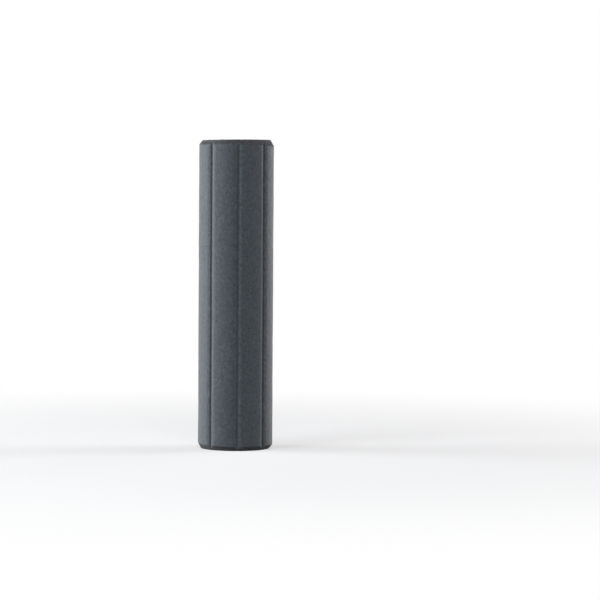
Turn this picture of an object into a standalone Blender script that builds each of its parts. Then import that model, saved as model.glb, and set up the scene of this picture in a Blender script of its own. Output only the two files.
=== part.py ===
"""A slide-on handlebar grip: a round tube of silicone foam with lengthwise grooves.

The grip is moulded in one piece. Eight narrow grooves run along its outside, both ends are
ground to a bevel, and a plain bore runs right through it for the bar. It stands on its
lower end: +Z runs up the bore, the origin is at the middle of the lower end, and one
groove faces -Y. All sizes are in metres, as the grip is before it is pushed onto a bar.
"""

import math

import bmesh
import bpy

# Tube
LENGTH = 0.130
OUTER_DIAMETER = 0.0315
BORE_DIAMETER = 0.0170

# Bevel at each end
BEVEL_RADIAL = 0.00145
BEVEL_AXIAL = 0.00225

# Grooves
GROOVE_COUNT = 8
GROOVE_DEPTH = 0.00085
GROOVE_BOTTOM_RADIUS = 0.00065
GROOVE_FLANK_SLOPE = math.radians(55)
GROOVE_LIP_RADIUS = 0.0006
GROOVE_EASE_SLOPE = math.radians(20)
GROOVE_EASE_RADIUS = 0.0045
FIRST_GROOVE_ANGLE = -math.pi / 2

# Fineness of the round stretches
LAND_STEPS = 8
BOTTOM_STEPS = 2
LIP_STEPS = 2
EASE_STEPS = 3

# Points closer than this are one point
SAME_POINT = 1e-7

# Angle past which two faces meet in a crease
CREASE_ANGLE = math.radians(30)

# Finish
FOAM_NAME = "silicone_foam"
FOAM_COLOUR = (0.066, 0.074, 0.085, 1.0)
FOAM_ROUGHNESS = 0.8
FOAM_METALLIC = 0.0


def clear_scene():
    """Remove every object that the file starts with."""
    for obj in list(bpy.data.objects):
        bpy.data.objects.remove(obj, do_unlink=True)


def foam_material():
    """The grey foam of the grip."""
    material = bpy.data.materials.new(FOAM_NAME)
    material.use_nodes = True
    shader = material.node_tree.nodes["Principled BSDF"]
    shader.inputs["Base Color"].default_value = FOAM_COLOUR
    shader.inputs["Roughness"].default_value = FOAM_ROUGHNESS
    shader.inputs["Metallic"].default_value = FOAM_METALLIC
    return material


def arc(radius, first_slope, last_slope, steps):
    """An arc from one slope to another, as (across, rise) from where it starts."""
    points = []
    for step in range(1, steps + 1):
        slope = first_slope + (last_slope - first_slope) * step / steps
        across = radius * abs(math.sin(slope) - math.sin(first_slope))
        rise = radius * abs(math.cos(slope) - math.cos(first_slope))
        points.append((across, rise))
    return points


def half_groove():
    """Half of a groove's section, from its bottom out to the surface, as (across, deep).

    The round bottom steepens from level to the flank, which runs straight. A tight lip turns
    the flank over to the ease, a long gentle arc that flattens out to the grip's outside. The
    flank takes up the depth that the three arcs leave.
    """
    bottom = arc(GROOVE_BOTTOM_RADIUS, 0.0, GROOVE_FLANK_SLOPE, BOTTOM_STEPS)
    lip = arc(GROOVE_LIP_RADIUS, GROOVE_FLANK_SLOPE, GROOVE_EASE_SLOPE, LIP_STEPS)
    ease = arc(GROOVE_EASE_RADIUS, GROOVE_EASE_SLOPE, 0.0, EASE_STEPS)
    climb = GROOVE_DEPTH - bottom[-1][1] - lip[-1][1] - ease[-1][1]
    flank = [(climb / math.tan(GROOVE_FLANK_SLOPE), climb)]
    points = [(0.0, GROOVE_DEPTH)]
    for stretch in (bottom, flank, lip, ease):
        start_across, start_deep = points[-1]
        for across, rise in stretch:
            points.append((start_across + across, start_deep - rise))
    return points


def section():
    """The grip's outer section once round, as (angle, radius)."""
    radius = OUTER_DIAMETER / 2
    right_half = half_groove()
    left_half = [(-across, deep) for across, deep in reversed(right_half[1:])]
    groove = left_half + right_half
    pitch = 2 * math.pi / GROOVE_COUNT
    land = pitch - 2 * right_half[-1][0] / radius
    outline = []
    for index in range(GROOVE_COUNT):
        middle = FIRST_GROOVE_ANGLE + index * pitch
        for across, deep in groove:
            outline.append((middle + across / radius, radius - deep))
        for step in range(1, LAND_STEPS):
            start = middle + right_half[-1][0] / radius
            outline.append((start + land * step / LAND_STEPS, radius))
    return outline


def ring(mesh, outline, place):
    """One ring of points, where place turns an outline radius into (radius, height)."""
    points = []
    for angle, outline_radius in outline:
        radius, height = place(outline_radius)
        points.append(mesh.verts.new((radius * math.cos(angle), radius * math.sin(angle), height)))
    return points


def bevel_start(outline_radius):
    """Where the bevel leaves the end face."""
    return min(outline_radius, OUTER_DIAMETER / 2 - BEVEL_RADIAL)


def bevel_rise(outline_radius):
    """How far from the end the bevel meets the outside, which is nearer the end in a groove."""
    return BEVEL_AXIAL * (outline_radius - bevel_start(outline_radius)) / BEVEL_RADIAL


def grip_mesh():
    """The closed surface of the grip, as rings joined one to the next and round to the first."""
    outline = section()
    bore_radius = BORE_DIAMETER / 2
    places = [
        lambda r: (bore_radius, 0.0),
        lambda r: (bevel_start(r), 0.0),
        lambda r: (r, bevel_rise(r)),
        lambda r: (r, LENGTH - bevel_rise(r)),
        lambda r: (bevel_start(r), LENGTH),
        lambda r: (bore_radius, LENGTH),
    ]
    mesh = bmesh.new()
    rings = [ring(mesh, outline, place) for place in places]
    for lower, upper in zip(rings, rings[1:] + rings[:1]):
        for here in range(len(outline)):
            after = (here + 1) % len(outline)
            mesh.faces.new((lower[here], lower[after], upper[after], upper[here]))
    bmesh.ops.remove_doubles(mesh, verts=mesh.verts, dist=SAME_POINT)
    bmesh.ops.recalc_face_normals(mesh, faces=mesh.faces)
    return mesh


def add_grip():
    """Put the grip in the scene, shaded smooth with creases at its ends."""
    mesh = grip_mesh()
    data = bpy.data.meshes.new("foam_grip")
    mesh.to_mesh(data)
    mesh.free()
    data.materials.append(foam_material())
    data.shade_smooth()
    data.set_sharp_from_angle(angle=CREASE_ANGLE)
    grip = bpy.data.objects.new("foam_grip", data)
    bpy.context.scene.collection.objects.link(grip)
    return grip


def main():
    """Build the grip."""
    clear_scene()
    add_grip()


main()
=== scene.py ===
"""A slide-on handlebar grip of silicone foam, standing on its end in a white studio.

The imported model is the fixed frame. The foam grip is worked out again here as one fine
closed surface with rounded edges, and dressed in three finishes: the ground outer skin, the
cut ends and the bore. All sizes are in metres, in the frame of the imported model.
"""

import logging
import math
from dataclasses import dataclass, field
from enum import Enum

import bpy
import numpy as np
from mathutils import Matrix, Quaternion, Vector


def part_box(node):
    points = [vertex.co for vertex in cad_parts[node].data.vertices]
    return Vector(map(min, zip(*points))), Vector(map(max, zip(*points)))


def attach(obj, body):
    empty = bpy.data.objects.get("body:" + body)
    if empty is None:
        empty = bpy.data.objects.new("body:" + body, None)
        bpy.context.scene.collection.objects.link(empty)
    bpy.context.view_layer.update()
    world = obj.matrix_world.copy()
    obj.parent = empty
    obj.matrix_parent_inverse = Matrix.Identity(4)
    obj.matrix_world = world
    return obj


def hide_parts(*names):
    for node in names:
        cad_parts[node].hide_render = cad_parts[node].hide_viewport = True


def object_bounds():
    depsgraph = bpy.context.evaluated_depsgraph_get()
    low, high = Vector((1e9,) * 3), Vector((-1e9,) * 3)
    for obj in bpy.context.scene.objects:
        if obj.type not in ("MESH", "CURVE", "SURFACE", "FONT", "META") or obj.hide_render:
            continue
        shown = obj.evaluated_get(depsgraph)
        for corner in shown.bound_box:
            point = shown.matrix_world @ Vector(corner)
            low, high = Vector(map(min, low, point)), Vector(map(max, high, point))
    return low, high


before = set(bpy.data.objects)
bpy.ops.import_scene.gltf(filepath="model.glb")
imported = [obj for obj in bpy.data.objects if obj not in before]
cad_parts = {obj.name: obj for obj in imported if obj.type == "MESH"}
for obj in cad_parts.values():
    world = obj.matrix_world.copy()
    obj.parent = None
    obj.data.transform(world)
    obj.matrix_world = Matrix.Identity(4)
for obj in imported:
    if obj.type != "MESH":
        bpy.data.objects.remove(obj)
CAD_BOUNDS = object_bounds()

GRIP_NODE = "foam_grip"

Array = np.ndarray
Colour = tuple[float, float, float, float]

log = logging.getLogger("grip")


class Zone(Enum):
    """The three kinds of surface on the grip, which are also its material slots in order."""

    SKIN = 0
    CUT_END = 1
    BORE = 2


class NodeTree:
    """Adds nodes and links to one shader or group tree in short calls."""

    MIX_FIRST = 6
    MIX_SECOND = 7
    MIX_RESULT = 2

    def __init__(self, tree: bpy.types.NodeTree) -> None:
        """Hold the tree that the nodes go into."""
        self.tree = tree

    def add(self, kind: str, **settings: object) -> bpy.types.Node:
        """Add a node and set its options.

        Args:
            kind: The node's Blender type name.
            settings: Options of the node, by attribute name.

        Returns:
            The new node.
        """
        node = self.tree.nodes.new(kind)
        for name, value in settings.items():
            setattr(node, name, value)
        return node

    def feed(self, socket: bpy.types.NodeSocket, value: object) -> None:
        """Link an output socket to an input, or set the input to a plain value."""
        if isinstance(value, bpy.types.NodeSocket):
            self.tree.links.new(value, socket)
        else:
            socket.default_value = value

    def math(self, operation: str, *values: object) -> bpy.types.NodeSocket:
        """Work out a number from one, two or three numbers.

        Args:
            operation: The Math node's operation.
            values: Sockets or plain numbers.

        Returns:
            The result's socket.
        """
        node = self.add("ShaderNodeMath", operation=operation)
        for socket, value in zip(node.inputs, values):
            self.feed(socket, value)
        return node.outputs[0]

    def ramp(self, value: object, low: float, high: float, start: float, end: float) -> bpy.types.NodeSocket:
        """Carry a value smoothly from start to end as it goes from low to high.

        Args:
            value: The socket to read.
            low: The value at which the result is start.
            high: The value at which the result is end.
            start: The result at and below low.
            end: The result at and above high.

        Returns:
            The result's socket.
        """
        node = self.add("ShaderNodeMapRange", interpolation_type="SMOOTHSTEP")
        for socket, given in zip(node.inputs, (value, low, high, start, end)):
            self.feed(socket, given)
        return node.outputs["Result"]

    def noise(self, vector: object, scale: object, detail: float, roughness: float = 0.5) -> bpy.types.Node:
        """Add a noise texture.

        Args:
            vector: The place that it reads.
            scale: How many of its lumps there are to a metre.
            detail: How many finer layers it has.
            roughness: How strong the finer layers are.

        Returns:
            The texture's node.
        """
        node = self.add("ShaderNodeTexNoise", noise_dimensions="3D")
        self.feed(node.inputs["Vector"], vector)
        self.feed(node.inputs["Scale"], scale)
        node.inputs["Detail"].default_value = detail
        node.inputs["Roughness"].default_value = roughness
        return node

    def scaled(self, vector: object, factor: object) -> bpy.types.NodeSocket:
        """Multiply a vector or colour by a number."""
        node = self.add("ShaderNodeVectorMath", operation="SCALE")
        self.feed(node.inputs[0], vector)
        self.feed(node.inputs["Scale"], factor)
        return node.outputs[0]

    def mix(self, share: object, first: object, second: object, blend: str = "MIX") -> bpy.types.NodeSocket:
        """Mix two colours.

        Args:
            share: How much of the second colour there is.
            first: The first colour.
            second: The second colour.
            blend: The way of mixing.

        Returns:
            The mixed colour's socket.
        """
        node = self.add("ShaderNodeMix", data_type="RGBA", blend_type=blend)
        self.feed(node.inputs["Factor"], share)
        self.feed(node.inputs[self.MIX_FIRST], first)
        self.feed(node.inputs[self.MIX_SECOND], second)
        return node.outputs[self.MIX_RESULT]


class EffectGroups:
    """The shader node groups that the finishes share, each built once."""

    GRAIN = "foam_grain"
    TONE = "tone_drift"
    EDGE = "painted_edge_highlight"
    WARP_RATE = 0.6
    WARP_REACH = 0.7
    PORE_RIM = (0.20, 0.50)
    DIMPLE_RIM = 0.65
    CLUMP_TONE = 1.6
    LEAN_RATE = 0.45
    LEAN_SPAN = (0.35, 0.65)
    DRIFT_GAIN = 4.0
    BREAK_SPAN = (0.38, 0.62)
    BREAK_LEAST = 0.35
    NOISE_MIDDLE = 0.5

    def __init__(self) -> None:
        """Build every group."""
        self.grain = self._foam_grain()
        self.tone = self._tone_drift()
        self.edge = self._painted_edge_highlight()

    @staticmethod
    def _new(name: str, inputs: dict[str, tuple[str, object]], outputs: dict[str, str]) -> tuple:
        """Start a group with named sockets.

        Args:
            name: The group's name.
            inputs: Socket type and default value by input name.
            outputs: Socket type by output name.

        Returns:
            The group, its node helper, its input node and its output node.
        """
        group = bpy.data.node_groups.new(name, "ShaderNodeTree")
        for label, (kind, default) in inputs.items():
            socket = group.interface.new_socket(name=label, in_out="INPUT", socket_type=kind)
            if default is not None:
                socket.default_value = default
        for label, kind in outputs.items():
            group.interface.new_socket(name=label, in_out="OUTPUT", socket_type=kind)
        tree = NodeTree(group)
        return group, tree, tree.add("NodeGroupInput"), tree.add("NodeGroupOutput")

    def _foam_grain(self) -> bpy.types.ShaderNodeTree:
        """Build the foam's cells.

        Each cell is a shallow dimple that rises to its walls and has a tone of its own. A
        chosen share of the cells is cut open, as small pores. Clumps of several cells swell
        and sink together.

        Returns:
            The group, with outputs Height, Pores and Speckle.
        """
        number = "NodeSocketFloat"
        group, tree, given, made = self._new(
            self.GRAIN,
            {
                "Vector": ("NodeSocketVector", None),
                "Cell Size": (number, 0.0003),
                "Pore Share": (number, 0.1),
                "Pore Depth": (number, 1.0),
                "Clump Size": (number, 4.0),
                "Clump Height": (number, 1.0),
            },
            {"Height": number, "Pores": number, "Speckle": number},
        )
        frequency = tree.math("DIVIDE", 1.0, given.outputs["Cell Size"])
        warp_rate = tree.math("MULTIPLY", frequency, self.WARP_RATE)
        warp = tree.noise(given.outputs["Vector"], warp_rate, detail=1.0)
        reach = tree.math("MULTIPLY", given.outputs["Cell Size"], self.WARP_REACH)
        shift = tree.scaled(warp.outputs["Color"], reach)
        moved = tree.add("ShaderNodeVectorMath", operation="ADD")
        tree.feed(moved.inputs[0], given.outputs["Vector"])
        tree.feed(moved.inputs[1], shift)
        cells = tree.add("ShaderNodeTexVoronoi", voronoi_dimensions="3D", feature="F1")
        tree.feed(cells.inputs["Vector"], moved.outputs[0])
        tree.feed(cells.inputs["Scale"], frequency)
        lot = tree.add("ShaderNodeSeparateColor")
        tree.feed(lot.inputs[0], cells.outputs["Color"])
        chosen = tree.math("LESS_THAN", lot.outputs[0], given.outputs["Pore Share"])
        mouth = tree.ramp(cells.outputs["Distance"], *self.PORE_RIM, 1.0, 0.0)
        pores = tree.math("MULTIPLY", chosen, mouth)
        dimple = tree.ramp(cells.outputs["Distance"], 0.0, self.DIMPLE_RIM, 0.0, 1.0)
        clump_rate = tree.math("DIVIDE", frequency, given.outputs["Clump Size"])
        clumps = tree.noise(given.outputs["Vector"], clump_rate, detail=2.0).outputs["Fac"]
        swell = tree.math("MULTIPLY", clumps, given.outputs["Clump Height"])
        base = tree.math("ADD", swell, dimple)
        sunk = tree.math("MULTIPLY", pores, given.outputs["Pore Depth"])
        tree.feed(made.inputs["Height"], tree.math("SUBTRACT", base, sunk))
        tree.feed(made.inputs["Pores"], pores)
        own_tone = tree.math("SUBTRACT", lot.outputs[1], self.NOISE_MIDDLE)
        clump_tone = tree.math("SUBTRACT", clumps, self.NOISE_MIDDLE)
        speckle = tree.math("MULTIPLY_ADD", clump_tone, self.CLUMP_TONE, own_tone)
        tree.feed(made.inputs["Speckle"], speckle)
        return group

    def _tone_drift(self) -> bpy.types.ShaderNodeTree:
        """Build the slow drift in the foam's tone.

        The colour grows lighter and darker by Amount over patches of about Patch Size, and
        leans a little to a second tint in other patches.

        Returns:
            The group, with outputs Color and Patch.
        """
        number = "NodeSocketFloat"
        group, tree, given, made = self._new(
            self.TONE,
            {
                "Vector": ("NodeSocketVector", None),
                "Color": ("NodeSocketColor", (0.1, 0.1, 0.1, 1.0)),
                "Tint": ("NodeSocketColor", (0.1, 0.1, 0.1, 1.0)),
                "Patch Size": (number, 0.01),
                "Amount": (number, 0.1),
            },
            {"Color": "NodeSocketColor", "Patch": number},
        )
        frequency = tree.math("DIVIDE", 1.0, given.outputs["Patch Size"])
        patch = tree.noise(given.outputs["Vector"], frequency, detail=4.0, roughness=0.6)
        lean_rate = tree.math("MULTIPLY", frequency, self.LEAN_RATE)
        lean = tree.noise(given.outputs["Vector"], lean_rate, detail=2.0)
        tinted = tree.mix(
            tree.ramp(lean.outputs["Fac"], *self.LEAN_SPAN, 0.0, 1.0),
            given.outputs["Color"],
            given.outputs["Tint"],
        )
        swing = tree.math("SUBTRACT", patch.outputs["Fac"], self.NOISE_MIDDLE)
        strength = tree.math("MULTIPLY", given.outputs["Amount"], self.DRIFT_GAIN)
        gain = tree.math("MULTIPLY_ADD", swing, strength, 1.0)
        tree.feed(made.inputs["Color"], tree.scaled(tinted, gain))
        tree.feed(made.inputs["Patch"], patch.outputs["Fac"])
        return group

    def _painted_edge_highlight(self) -> bpy.types.ShaderNodeTree:
        """Build a painted highlight, a lighter broken line along the edges and the groove lips.

        The Edge value is 1 on the edge and falls to 0 beside it. A noise breaks it up.

        Returns:
            The group, with output Mask.
        """
        number = "NodeSocketFloat"
        group, tree, given, made = self._new(
            self.EDGE,
            {
                "Vector": ("NodeSocketVector", None),
                "Edge": (number, 0.0),
                "Break Size": (number, 0.001),
                "Amount": (number, 0.3),
            },
            {"Mask": number},
        )
        rate = tree.math("DIVIDE", 1.0, given.outputs["Break Size"])
        noise = tree.noise(given.outputs["Vector"], rate, detail=3.0)
        broken = tree.ramp(noise.outputs["Fac"], *self.BREAK_SPAN, self.BREAK_LEAST, 1.0)
        line = tree.math("MULTIPLY", given.outputs["Edge"], broken)
        tree.feed(made.inputs["Mask"], tree.math("MULTIPLY", line, given.outputs["Amount"]))
        return group


@dataclass(frozen=True)
class FoamFinish:
    """One finish of the foam, from its colour to its cells."""

    name: str
    colour: Colour
    tint: Colour
    # The edge colour and its amount paint a highlight along the edges and the groove lips.
    edge_highlight_colour: Colour
    pore_colour: Colour
    patch_size: float
    tone_amount: float
    cell_size: float
    cell_height: float
    pore_share: float
    pore_depth: float
    clump_size: float
    clump_height: float
    speckle_amount: float
    edge_highlight_amount: float
    # How much painted shade darkens the colour deep in the grooves.
    painted_groove_shade: float
    roughness: float
    roughness_swing: float
    specular: float
    sheen: float
    sheen_roughness: float = 0.5
    shade_from: float = 0.25

    def build(self, groups: EffectGroups) -> bpy.types.Material:
        """Make the material.

        Args:
            groups: The shared effects.

        Returns:
            The finished material.
        """
        material = bpy.data.materials.new(self.name)
        material.use_nodes = True
        tree = NodeTree(material.node_tree)
        shader = material.node_tree.nodes["Principled BSDF"]
        place = tree.add("ShaderNodeTexCoord").outputs["Object"]
        tone = tree.add("ShaderNodeGroup", node_tree=groups.tone)
        grain = tree.add("ShaderNodeGroup", node_tree=groups.grain)
        edge = tree.add("ShaderNodeGroup", node_tree=groups.edge)
        near_edge = tree.add("ShaderNodeAttribute", attribute_name=GripMesh.EDGE_LAYER)
        self._set(tree, tone, {
            "Vector": place, "Color": self.colour, "Tint": self.tint,
            "Patch Size": self.patch_size, "Amount": self.tone_amount,
        })
        self._set(tree, grain, {
            "Vector": place, "Cell Size": self.cell_size,
            "Pore Share": self.pore_share, "Pore Depth": self.pore_depth,
            "Clump Size": self.clump_size, "Clump Height": self.clump_height,
        })
        self._set(tree, edge, {
            "Vector": place, "Edge": near_edge.outputs["Fac"], "Amount": self.edge_highlight_amount,
        })
        # Painted highlight: the colour is lighter along the edges and the groove lips.
        painted_highlight = tree.mix(edge.outputs["Mask"], tone.outputs["Color"], self.edge_highlight_colour)
        pored = tree.mix(grain.outputs["Pores"], painted_highlight, self.pore_colour)
        # Painted shade: the colour is darker deep in the grooves.
        deep = tree.add("ShaderNodeAttribute", attribute_name=GripMesh.GROOVE_LAYER)
        shade = tree.ramp(deep.outputs["Fac"], self.shade_from, 1.0, 1.0, 1.0 - self.painted_groove_shade)
        gain = tree.math("MULTIPLY_ADD", grain.outputs["Speckle"], self.speckle_amount, 1.0)
        tree.feed(shader.inputs["Base Color"], tree.scaled(pored, tree.math("MULTIPLY", gain, shade)))
        swing = tree.math("SUBTRACT", tone.outputs["Patch"], EffectGroups.NOISE_MIDDLE)
        tree.feed(
            shader.inputs["Roughness"],
            tree.math("MULTIPLY_ADD", swing, self.roughness_swing, self.roughness),
        )
        bump = tree.add("ShaderNodeBump")
        bump.inputs["Distance"].default_value = self.cell_height
        tree.feed(bump.inputs["Height"], grain.outputs["Height"])
        tree.feed(shader.inputs["Normal"], bump.outputs["Normal"])
        shader.inputs["Specular IOR Level"].default_value = self.specular
        shader.inputs["Sheen Weight"].default_value = self.sheen
        shader.inputs["Sheen Roughness"].default_value = self.sheen_roughness
        return material

    @staticmethod
    def _set(tree: NodeTree, node: bpy.types.Node, values: dict[str, object]) -> None:
        """Feed several named inputs of a node."""
        for label, value in values.items():
            tree.feed(node.inputs[label], value)


SKIN_FINISH = FoamFinish(
    name="ground_foam_skin",
    colour=(0.0670, 0.0815, 0.0965, 1.0),
    tint=(0.0700, 0.0815, 0.0930, 1.0),
    edge_highlight_colour=(0.126, 0.148, 0.170, 1.0),
    pore_colour=(0.040, 0.049, 0.058, 1.0),
    patch_size=0.007,
    tone_amount=0.07,
    cell_size=0.00034,
    cell_height=0.00006,
    pore_share=0.35,
    pore_depth=1.0,
    clump_size=4.0,
    clump_height=3.0,
    speckle_amount=0.66,
    edge_highlight_amount=0.80,
    painted_groove_shade=0.05,
    roughness=0.62,
    roughness_swing=0.2,
    specular=0.3,
    sheen=0.5,
)
CUT_FINISH = FoamFinish(
    name="cut_foam_end",
    colour=(0.0830, 0.0835, 0.0905, 1.0),
    tint=(0.0860, 0.0840, 0.0885, 1.0),
    edge_highlight_colour=(0.110, 0.108, 0.114, 1.0),
    pore_colour=(0.036, 0.034, 0.037, 1.0),
    patch_size=0.004,
    tone_amount=0.10,
    cell_size=0.00042,
    cell_height=0.00010,
    pore_share=0.45,
    pore_depth=1.3,
    clump_size=3.5,
    clump_height=1.6,
    speckle_amount=0.45,
    edge_highlight_amount=0.15,
    painted_groove_shade=0.0,
    roughness=0.80,
    roughness_swing=0.12,
    specular=0.15,
    sheen=0.08,
)
BORE_FINISH = FoamFinish(
    name="moulded_foam_bore",
    colour=(0.060, 0.065, 0.072, 1.0),
    tint=(0.063, 0.066, 0.071, 1.0),
    edge_highlight_colour=(0.090, 0.092, 0.098, 1.0),
    pore_colour=(0.036, 0.039, 0.043, 1.0),
    patch_size=0.008,
    tone_amount=0.08,
    cell_size=0.00045,
    cell_height=0.00004,
    pore_share=0.15,
    pore_depth=1.0,
    clump_size=4.0,
    clump_height=1.5,
    speckle_amount=0.25,
    edge_highlight_amount=0.15,
    painted_groove_shade=0.0,
    roughness=0.6,
    roughness_swing=0.2,
    specular=0.25,
    sheen=0.1,
)


@dataclass(frozen=True)
class Groove:
    """The section of one lengthwise groove.

    From the middle out it has a round bottom, a straight flank, a tight lip and a long gentle
    ease, where the foam falls away from the round outside towards the groove.
    """

    count: int = 8
    depth: float = 0.00085
    bottom_radius: float = 0.00065
    lip_radius: float = 0.0006
    ease_radius: float = 0.0045
    flank_slope: float = math.radians(55)
    ease_slope: float = math.radians(20)
    bottom_steps: int = 4
    flank_steps: int = 3
    lip_steps: int = 5
    ease_steps: int = 9
    # Where the painted highlight on the lips lies, and how far it spreads.
    highlight_depth: float = 0.00030
    highlight_spread: float = 0.00012

    @staticmethod
    def _hollow(radius: float, slopes: Array) -> tuple[Array, Array]:
        """How far across and up a hollow arc has come, from level to each slope."""
        return radius * np.sin(slopes), radius * (1 - np.cos(slopes))

    @staticmethod
    def _crown(radius: float, first: float, slopes: Array) -> tuple[Array, Array]:
        """How far across and up a crowned arc has come, from its first slope to each slope."""
        return radius * (math.sin(first) - np.sin(slopes)), radius * (np.cos(slopes) - math.cos(first))

    def half(self) -> tuple[Array, Array]:
        """Work out half of the section, from the middle of the bottom out to the surface.

        Each arc starts at the slope at which the stretch before it ends, so that there is no
        crease. The flank is as long as it takes for the four rises to make up the depth.

        Returns:
            How far across and how deep each point is.
        """
        bottom = self._hollow(self.bottom_radius, np.linspace(0.0, self.flank_slope, self.bottom_steps))
        lip = self._crown(
            self.lip_radius, self.flank_slope,
            np.linspace(self.flank_slope, self.ease_slope, self.lip_steps),
        )
        ease = self._crown(
            self.ease_radius, self.ease_slope, np.linspace(self.ease_slope, 0.0, self.ease_steps),
        )
        climb = self.depth - bottom[1][-1] - lip[1][-1] - ease[1][-1]
        share = np.linspace(0.0, 1.0, self.flank_steps + 1)
        flank = (climb / math.tan(self.flank_slope) * share, climb * share)
        across, up = [bottom[0]], [bottom[1]]
        for part in (flank, lip, ease):
            across.append(across[-1][-1] + part[0][1:])
            up.append(up[-1][-1] + part[1][1:])
        return np.concatenate(across), self.depth - np.concatenate(up)

    def painted_highlight(self, deep: Array) -> Array:
        """How much painted highlight a point gets, most at the lips and fading above and below them."""
        return np.exp(-(((deep - self.highlight_depth) / self.highlight_spread) ** 2))


@dataclass(frozen=True)
class EndBevel:
    """The bevel ground on one end, which is a little uneven round the grip."""

    radial: float = 0.00145
    axial: float = 0.00225
    radial_lean: float = 0.00005
    axial_lean: float = 0.00042
    lean_towards: float = 0.0
    ripple: float = 0.00009
    waves: int = 7
    seed: int = 3

    def _uneven(self, angle: Array, lean: float, draw: np.random.Generator) -> Array:
        """A single wave that leans to one side, and a few shorter ones of random phase."""
        shift = lean * np.cos(angle - self.lean_towards)
        for wave in range(2, self.waves + 1):
            shift = shift + self.ripple / wave * np.cos(wave * angle + draw.uniform(0, 2 * math.pi))
        return shift

    def sizes_at(self, angle: Array) -> tuple[Array, Array]:
        """Work out the bevel's radial and axial size at each angle round the grip.

        Args:
            angle: The angles.

        Returns:
            The radial and the axial sizes.
        """
        draw = np.random.default_rng(self.seed)
        radial = self.radial + self._uneven(angle, self.radial_lean, draw)
        return radial, self.axial + self._uneven(angle, self.axial_lean, draw)


@dataclass(frozen=True)
class Relief:
    """A fine unevenness of one wavelength, the same in every direction."""

    wavelength: float
    height: float
    seed: int
    count: int = 40
    spread: float = 0.35

    def at(self, points: Array) -> Array:
        """Work out the relief at points in space.

        It is a sum of plane waves that run in random directions, with wavelengths within
        spread of the given one and random phases, scaled so that its usual size is height.

        Args:
            points: The points, with x, y and z along the last axis.

        Returns:
            The height of the relief at each point.
        """
        draw = np.random.default_rng(self.seed)
        heading = draw.normal(size=(self.count, 3))
        heading /= np.linalg.norm(heading, axis=1, keepdims=True)
        lengths = self.wavelength * draw.uniform(1 - self.spread, 1 + self.spread, self.count)
        phase = draw.uniform(0, 2 * math.pi, self.count)
        turns = points.reshape(-1, 3) @ (2 * math.pi / lengths[:, None] * heading).T
        total = np.cos(turns + phase).sum(1) * math.sqrt(2 / self.count)
        return self.height * total.reshape(points.shape[:-1])


SLOW_RELIEF = Relief(wavelength=0.022, height=0.000022, seed=11)
ZONE_RELIEFS = {
    Zone.SKIN: (Relief(wavelength=0.0040, height=0.000008, seed=21), Relief(0.0018, 0.000006, seed=22)),
    Zone.CUT_END: (Relief(wavelength=0.0030, height=0.000018, seed=31), Relief(0.0014, 0.000014, seed=32)),
    Zone.BORE: (Relief(wavelength=0.0080, height=0.000020, seed=41),),
}


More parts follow.
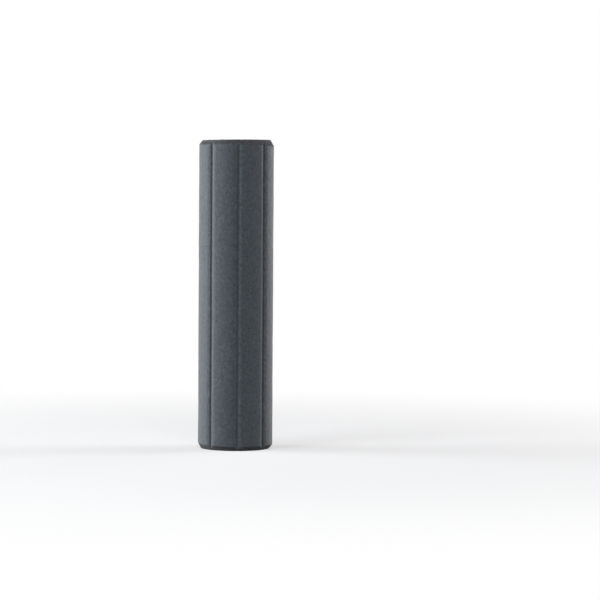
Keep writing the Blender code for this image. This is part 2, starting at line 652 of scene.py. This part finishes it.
@dataclass
class GripMesh:
    """The foam grip as one closed surface, a grid of angle round by distance along a path.

    The path runs up the bore, out over the upper end, down the bevel and the outside, and back
    in over the lower end to where it began.
    """

    EDGE_LAYER = "near_edge"
    GROOVE_LAYER = "in_groove"

    length: float
    outer_diameter: float = 0.0315
    bore_diameter: float = 0.0170
    groove: Groove = field(default_factory=Groove)
    upper_bevel: EndBevel = field(default_factory=EndBevel)
    lower_bevel: EndBevel = field(default_factory=lambda: EndBevel(lean_towards=2.1, seed=8))
    first_groove: float = -math.pi / 2
    land_steps: int = 9
    wall_steps: int = 196
    bore_steps: int = 24
    face_steps: int = 9
    bevel_steps: int = 5
    corner_steps: int = 5
    outer_corner: float = 0.00022
    face_corner: float = 0.00022
    bore_corner: float = 0.00030
    face_slant: float = 0.00030
    slant_towards: float = 0.2
    blend_steps: int = 4
    # How strong the painted highlight is on the rounded corners of the path.
    edge_highlight_share: float = 0.4
    most_cut: float = 0.4

    def outline(self) -> tuple[Array, Array]:
        """Work out the outer section once round.

        Each groove's section is laid along the surface, so a distance across it is an angle
        times the outer radius. Between grooves the radius stays the outer one.

        Returns:
            The angle and radius of each point.
        """
        radius = self.outer_diameter / 2
        across, deep = self.groove.half()
        pitch = 2 * math.pi / self.groove.count
        groove_angle = np.concatenate([-across[:0:-1], across]) / radius
        groove_radius = radius - np.concatenate([deep[:0:-1], deep])
        edge = groove_angle[-1]
        land_angle = np.linspace(edge, pitch - edge, self.land_steps + 1)[1:-1]
        one_angle = np.concatenate([groove_angle, land_angle])
        one_radius = np.concatenate([groove_radius, np.full(land_angle.shape, radius)])
        middles = self.first_groove + pitch * np.arange(self.groove.count)
        angle = (middles[:, None] + one_angle[None, :]).ravel()
        return angle, np.tile(one_radius, self.groove.count)

    def _bevel_ends(self, angle: Array, radius: Array, bevel: EndBevel) -> tuple[Array, Array]:
        """Work out where the bevel starts on the end face and where it meets the outside.

        The bevel is a cone, so in a groove, where the outside is deeper, it meets the outside
        nearer the end, in proportion to what is left of its radial size.

        Args:
            angle: The angle of each outline point.
            radius: The radius of each outline point.
            bevel: The bevel on this end.

        Returns:
            The radius at which the bevel starts, and its height where it meets the outside.
        """
        radial, axial = bevel.sizes_at(angle)
        start = np.minimum(radius, self.outer_diameter / 2 - radial)
        return start, axial * (radius - start) / radial

    @staticmethod
    def _straight(first: Array, last: Array, steps: int) -> Array:
        """Work out the points between two ends, without the ends.

        Args:
            first: One end for each outline point, as (point, 2).
            last: The other end, the same way.
            steps: How many intervals there are.

        Returns:
            The points as (step, point, 2).
        """
        share = np.linspace(0.0, 1.0, steps + 1)[1:-1, None, None]
        return first[None] * (1 - share) + last[None] * share

    def _round(self, before: Array, corner: Array, after: Array, size: float) -> Array:
        """Round a corner of the path off.

        The curve is a quadratic one: it leaves the first side and meets the second at size from
        the corner, or nearer where a side is short, and the corner pulls it.

        Args:
            before: The point before the corner, as (point, 2).
            corner: The corner.
            after: The point after it.
            size: How far from the corner the rounding begins.

        Returns:
            The points as (step, point, 2).
        """
        back, ahead = before - corner, after - corner
        back_length = np.linalg.norm(back, axis=1, keepdims=True)
        ahead_length = np.linalg.norm(ahead, axis=1, keepdims=True)
        cut = np.minimum(size, self.most_cut * np.minimum(back_length, ahead_length))
        first = corner + back / back_length * cut
        last = corner + ahead / ahead_length * cut
        share = np.linspace(0.0, 1.0, self.corner_steps)[:, None, None]
        return first * (1 - share) ** 2 + 2 * corner * share * (1 - share) + last * share**2

    def _corners(self, angle: Array, radius: Array) -> list[Array]:
        """Work out the path's six corners for each outline point, as (point, 2).

        The upper end is cut a little out of square, so its height falls to one side by
        face_slant, and by the same share less nearer the middle.
        """
        bore = np.full_like(radius, self.bore_diameter / 2)
        low_start, low_rise = self._bevel_ends(angle, radius, self.lower_bevel)
        high_start, high_rise = self._bevel_ends(angle, radius, self.upper_bevel)
        slant = self.face_slant * (1 - np.cos(angle - self.slant_towards)) / 2
        zero, top = np.zeros_like(radius), self.length - slant
        return [
            np.stack([bore, zero], 1),
            np.stack([bore, top], 1),
            np.stack([high_start, top], 1),
            np.stack([radius, top - high_rise], 1),
            np.stack([radius, low_rise], 1),
            np.stack([low_start, zero], 1),
        ]

    def path(self) -> tuple[Array, Array, Array, Array]:
        """Work out the whole grid before its relief.

        Returns:
            The angle of each outline point, the radius and height of each grid point as
            (step, point, 2), the zone of each step, and whether each step is on an edge.
        """
        angle, radius = self.outline()
        corners = self._corners(angle, radius)
        sizes = [
            self.bore_corner, self.bore_corner, self.face_corner,
            self.outer_corner, self.outer_corner, self.face_corner,
        ]
        steps = [
            self.bore_steps, self.face_steps, self.bevel_steps,
            self.wall_steps, self.bevel_steps, self.face_steps,
        ]
        zones = [Zone.BORE, Zone.CUT_END, Zone.CUT_END, Zone.SKIN, Zone.CUT_END, Zone.CUT_END]
        turns = [
            self._round(corners[k - 1], corners[k], corners[(k + 1) % len(corners)], sizes[k])
            for k in range(len(corners))
        ]
        parts, labels, on_edge = [], [], []
        half = self.corner_steps // 2
        for k, turn in enumerate(turns):
            run = self._straight(turn[-1], turns[(k + 1) % len(turns)][0], steps[k])
            parts += [turn, run]
            labels += [zones[k - 1].value] * half + [zones[k].value] * (len(turn) - half + len(run))
            on_edge += [1.0] * len(turn) + [0.0] * len(run)
        return angle, np.concatenate(parts), np.array(labels), np.array(on_edge)

    def _outward(self, points: Array) -> Array:
        """Work out the surface's direction outwards at each grid point.

        It is the cross product of the steps to the neighbours along both ways of the grid.
        """
        round_step = np.roll(points, -1, axis=1) - np.roll(points, 1, axis=1)
        path_step = np.roll(points, -1, axis=0) - np.roll(points, 1, axis=0)
        normal = np.cross(path_step, round_step)
        return normal / np.linalg.norm(normal, axis=-1, keepdims=True)

    def _with_relief(self, points: Array, zones: Array) -> Array:
        """Move the surface out and in by its relief.

        One zone's relief passes into the next one's over a few steps of the path, by averaging
        each step's share with its neighbours' again and again. Both ends are flat where they
        would pass the grip's own length, as where it stands.
        """
        raised = SLOW_RELIEF.at(points)
        for zone, reliefs in ZONE_RELIEFS.items():
            share = (zones == zone.value).astype(float)
            for _ in range(self.blend_steps):
                share = (np.roll(share, 1) + 2 * share + np.roll(share, -1)) / 4
            raised += share[:, None] * sum(relief.at(points) for relief in reliefs)
        moved = points + self._outward(points) * raised[..., None]
        moved[..., 2] = np.clip(moved[..., 2], 0.0, self.length)
        return moved

    def build(self, name: str) -> bpy.types.Object:
        """Make the object.

        Args:
            name: The object's name.

        Returns:
            The mesh object, with one material slot index per zone and the two layers.
        """
        angle, grid, zones, on_edge = self.path()
        radius, height = grid[..., 0], grid[..., 1]
        points = np.stack([radius * np.cos(angle), radius * np.sin(angle), height], -1)
        points = self._with_relief(points, zones)
        rows, columns = height.shape
        here = np.arange(rows * columns).reshape(rows, columns)
        right, above = np.roll(here, -1, axis=1), np.roll(here, -1, axis=0)
        faces = np.stack([here, above, np.roll(above, -1, axis=1), right], -1).reshape(-1, 4)
        mesh = bpy.data.meshes.new(name)
        mesh.vertices.add(rows * columns)
        mesh.vertices.foreach_set("co", points.astype(np.float32).ravel())
        mesh.loops.add(faces.size)
        mesh.loops.foreach_set("vertex_index", faces.astype(np.int32).ravel())
        mesh.polygons.add(len(faces))
        mesh.polygons.foreach_set("loop_start", np.arange(0, faces.size, 4, dtype=np.int32))
        mesh.polygons.foreach_set("material_index", np.repeat(zones, columns).astype(np.int32))
        mesh.update(calc_edges=True)
        mesh.validate()
        mesh.shade_smooth()
        deep = self.outer_diameter / 2 - self.outline()[1]
        # Painted highlight: strongest on the groove lips, fainter on every rounded corner of the path.
        lips = np.outer(zones == Zone.SKIN.value, self.groove.painted_highlight(deep))
        painted_highlight = np.maximum(self.edge_highlight_share * on_edge[:, None], lips)
        self._layer(mesh, self.EDGE_LAYER, painted_highlight.ravel())
        self._layer(mesh, self.GROOVE_LAYER, np.tile(deep / self.groove.depth, rows))
        made = bpy.data.objects.new(name, mesh)
        bpy.context.scene.collection.objects.link(made)
        return made

    @staticmethod
    def _layer(mesh: bpy.types.Mesh, name: str, values: Array) -> None:
        """Add a number for each point of the mesh, which the materials read."""
        mesh.attributes.new(name, "FLOAT", "POINT").data.foreach_set("value", values.astype(np.float32))


@dataclass(frozen=True)
class FoamGrip:
    """The whole grip: its surface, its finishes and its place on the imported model."""

    name: str = "grip_foam"
    fill: float = 1.0

    def build(self, groups: EffectGroups) -> bpy.types.Object:
        """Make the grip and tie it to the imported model.

        Args:
            groups: The shared effects.

        Returns:
            The dressed piece.
        """
        low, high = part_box(GRIP_NODE)
        piece = GripMesh(length=high[2] - low[2]).build(self.name)
        for finish in (SKIN_FINISH, CUT_FINISH, BORE_FINISH):
            piece.data.materials.append(finish.build(groups))
        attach(piece, "root")
        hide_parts(GRIP_NODE)
        return piece


COOL_WHITE = (0.96, 1.005, 1.035)
WARM_WHITE = (1.03, 0.985, 1.0)


@dataclass(frozen=True)
class SoftLamp:
    """One rectangular soft lamp that faces the middle of the grip."""

    name: str
    bearing: float
    elevation: float
    distance: float
    width: float
    height: float
    power: float
    colour: tuple[float, float, float] = (1.0, 1.0, 1.0)

    def build(self, target: Vector) -> bpy.types.Object:
        """Make the lamp.

        Args:
            target: The point that it faces.

        Returns:
            The lamp object.
        """
        light = bpy.data.lights.new(self.name, "AREA")
        light.shape = "RECTANGLE"
        light.size = self.width
        light.size_y = self.height
        light.energy = self.power
        light.color = self.colour
        lamp = bpy.data.objects.new(self.name, light)
        bearing, elevation = math.radians(self.bearing), math.radians(self.elevation)
        away = Vector((
            math.sin(bearing) * math.cos(elevation),
            -math.cos(bearing) * math.cos(elevation),
            math.sin(elevation),
        ))
        lamp.location = target + away * self.distance
        lamp.rotation_mode = "QUATERNION"
        lamp.rotation_quaternion = (-away).to_track_quat("-Z", "Y")
        bpy.context.scene.collection.objects.link(lamp)
        return lamp


@dataclass(frozen=True)
class Studio:
    """The white backdrop, the pale floor and the lamps."""

    floor_size: float = 12.0
    floor_colour: Colour = (0.55, 0.55, 0.55, 1.0)
    floor_lift: float = 0.46
    shade_from: float = 0.10
    shade_to: float = 0.35
    lamps: tuple[SoftLamp, ...] = (
        SoftLamp("left_lamp", -99.0, 8.0, 0.9, 0.5, 0.6, 9.9, COOL_WHITE),
        SoftLamp("left_front_lamp", -50.0, 45.0, 0.9, 0.4, 0.6, 2.75, COOL_WHITE),
        SoftLamp("front_lamp", 0.0, 45.0, 0.9, 0.3, 0.6, 1.55, COOL_WHITE),
        SoftLamp("right_lamp", 100.0, 45.0, 0.9, 0.3, 0.6, 2.6, WARM_WHITE),
        SoftLamp("right_back_lamp", 135.0, 8.0, 0.9, 0.3, 0.6, 2.15, WARM_WHITE),
    )

    def build(self) -> None:
        """Make the world, the floor and the lamps."""
        self._world()
        self._floor()
        target = Vector((0.0, 0.0, CAD_BOUNDS[1][2] / 2))
        for lamp in self.lamps:
            lamp.build(target)

    @staticmethod
    def _seen(tree: NodeTree) -> bpy.types.NodeSocket:
        """1 where the camera, a reflection or a clear material looks, and 0 for other light."""
        path = tree.add("ShaderNodeLightPath")
        mirrored = tree.math("MAXIMUM", path.outputs["Is Glossy Ray"], path.outputs["Is Transmission Ray"])
        return tree.math("MAXIMUM", path.outputs["Is Camera Ray"], mirrored)

    def _world(self) -> None:
        """Make a world that is white where it is seen and casts no other light."""
        world = bpy.data.worlds.new("studio")
        bpy.context.scene.world = world
        world.use_nodes = True
        tree = NodeTree(world.node_tree)
        background = world.node_tree.nodes["Background"]
        background.inputs["Color"].default_value = (1.0, 1.0, 1.0, 1.0)
        tree.feed(background.inputs["Strength"], self._seen(tree))

    def _floor(self) -> None:
        """Make the floor, which shows the grip's shadow near it and is plain white far away."""
        half = self.floor_size / 2
        mesh = bpy.data.meshes.new("floor")
        corners = [(-half, -half, 0.0), (half, -half, 0.0), (half, half, 0.0), (-half, half, 0.0)]
        mesh.from_pydata(corners, [], [(0, 1, 2, 3)])
        floor = bpy.data.objects.new("floor", mesh)
        bpy.context.scene.collection.objects.link(floor)
        mesh.materials.append(self._floor_material())

    def _floor_material(self) -> bpy.types.Material:
        """Make the floor's finish.

        Returns:
            A matt grey that is lifted towards white where it is seen, and passes into plain
            white far from the grip.
        """
        material = bpy.data.materials.new("studio_floor")
        material.use_nodes = True
        tree = NodeTree(material.node_tree)
        shader = material.node_tree.nodes["Principled BSDF"]
        output = material.node_tree.nodes["Material Output"]
        shader.inputs["Base Color"].default_value = self.floor_colour
        shader.inputs["Roughness"].default_value = 1.0
        shader.inputs["Specular IOR Level"].default_value = 0.0
        seen = self._seen(tree)
        shader.inputs["Emission Color"].default_value = (1.0, 1.0, 1.0, 1.0)
        tree.feed(shader.inputs["Emission Strength"], tree.math("MULTIPLY", seen, self.floor_lift))
        away = tree.add("ShaderNodeVectorMath", operation="LENGTH")
        tree.feed(away.inputs[0], tree.add("ShaderNodeTexCoord").outputs["Object"])
        far = tree.ramp(away.outputs["Value"], self.shade_from, self.shade_to, 0.0, 1.0)
        white = tree.add("ShaderNodeEmission")
        white.inputs["Strength"].default_value = 1.0
        blend = tree.add("ShaderNodeMixShader")
        tree.feed(blend.inputs["Fac"], tree.math("MULTIPLY", far, seen))
        tree.feed(blend.inputs[1], shader.outputs["BSDF"])
        tree.feed(blend.inputs[2], white.outputs["Emission"])
        tree.feed(output.inputs["Surface"], blend.outputs["Shader"])
        return material


@dataclass(frozen=True)
class Viewpoint:
    """The camera of the photograph: nearly level, with a long lens, the grip left of centre."""

    lens_mm: float = 154.74
    sensor_mm: float = 36.0
    distance: float = 1.087
    height: float = 0.106
    azimuth: float = -4.57
    beside: float = 0.02708
    pitch: float = 2.2705
    roll: float = 0.36

    def build(self) -> bpy.types.Object:
        """Make the camera and put it in use.

        Returns:
            The camera object.
        """
        data = bpy.data.cameras.new("camera")
        data.lens = self.lens_mm
        data.sensor_width = self.sensor_mm
        camera = bpy.data.objects.new("camera", data)
        turn, pitch = math.radians(self.azimuth), math.radians(self.pitch)
        ahead = Vector((-math.sin(turn), math.cos(turn), 0.0))
        right = Vector((math.cos(turn), math.sin(turn), 0.0))
        up = Vector((0.0, 0.0, 1.0))
        camera.location = right * self.beside - ahead * self.distance + up * self.height
        look = ahead * math.cos(pitch) - up * math.sin(pitch)
        camera.rotation_mode = "QUATERNION"
        spin = Quaternion((0.0, 0.0, 1.0), math.radians(self.roll))
        camera.rotation_quaternion = look.to_track_quat("-Z", "Y") @ spin
        bpy.context.scene.collection.objects.link(camera)
        bpy.context.scene.camera = camera
        return camera


def main() -> None:
    """Build the grip, the studio and the camera."""
    logging.basicConfig(level=logging.INFO, format="%(name)s: %(message)s")
    bpy.context.scene.view_settings.view_transform = "Standard"
    piece = FoamGrip().build(EffectGroups())
    log.info("%s: %d faces", piece.name, len(piece.data.polygons))
    Studio().build()
    Viewpoint().build()


if __name__ == "__main__":
    main()
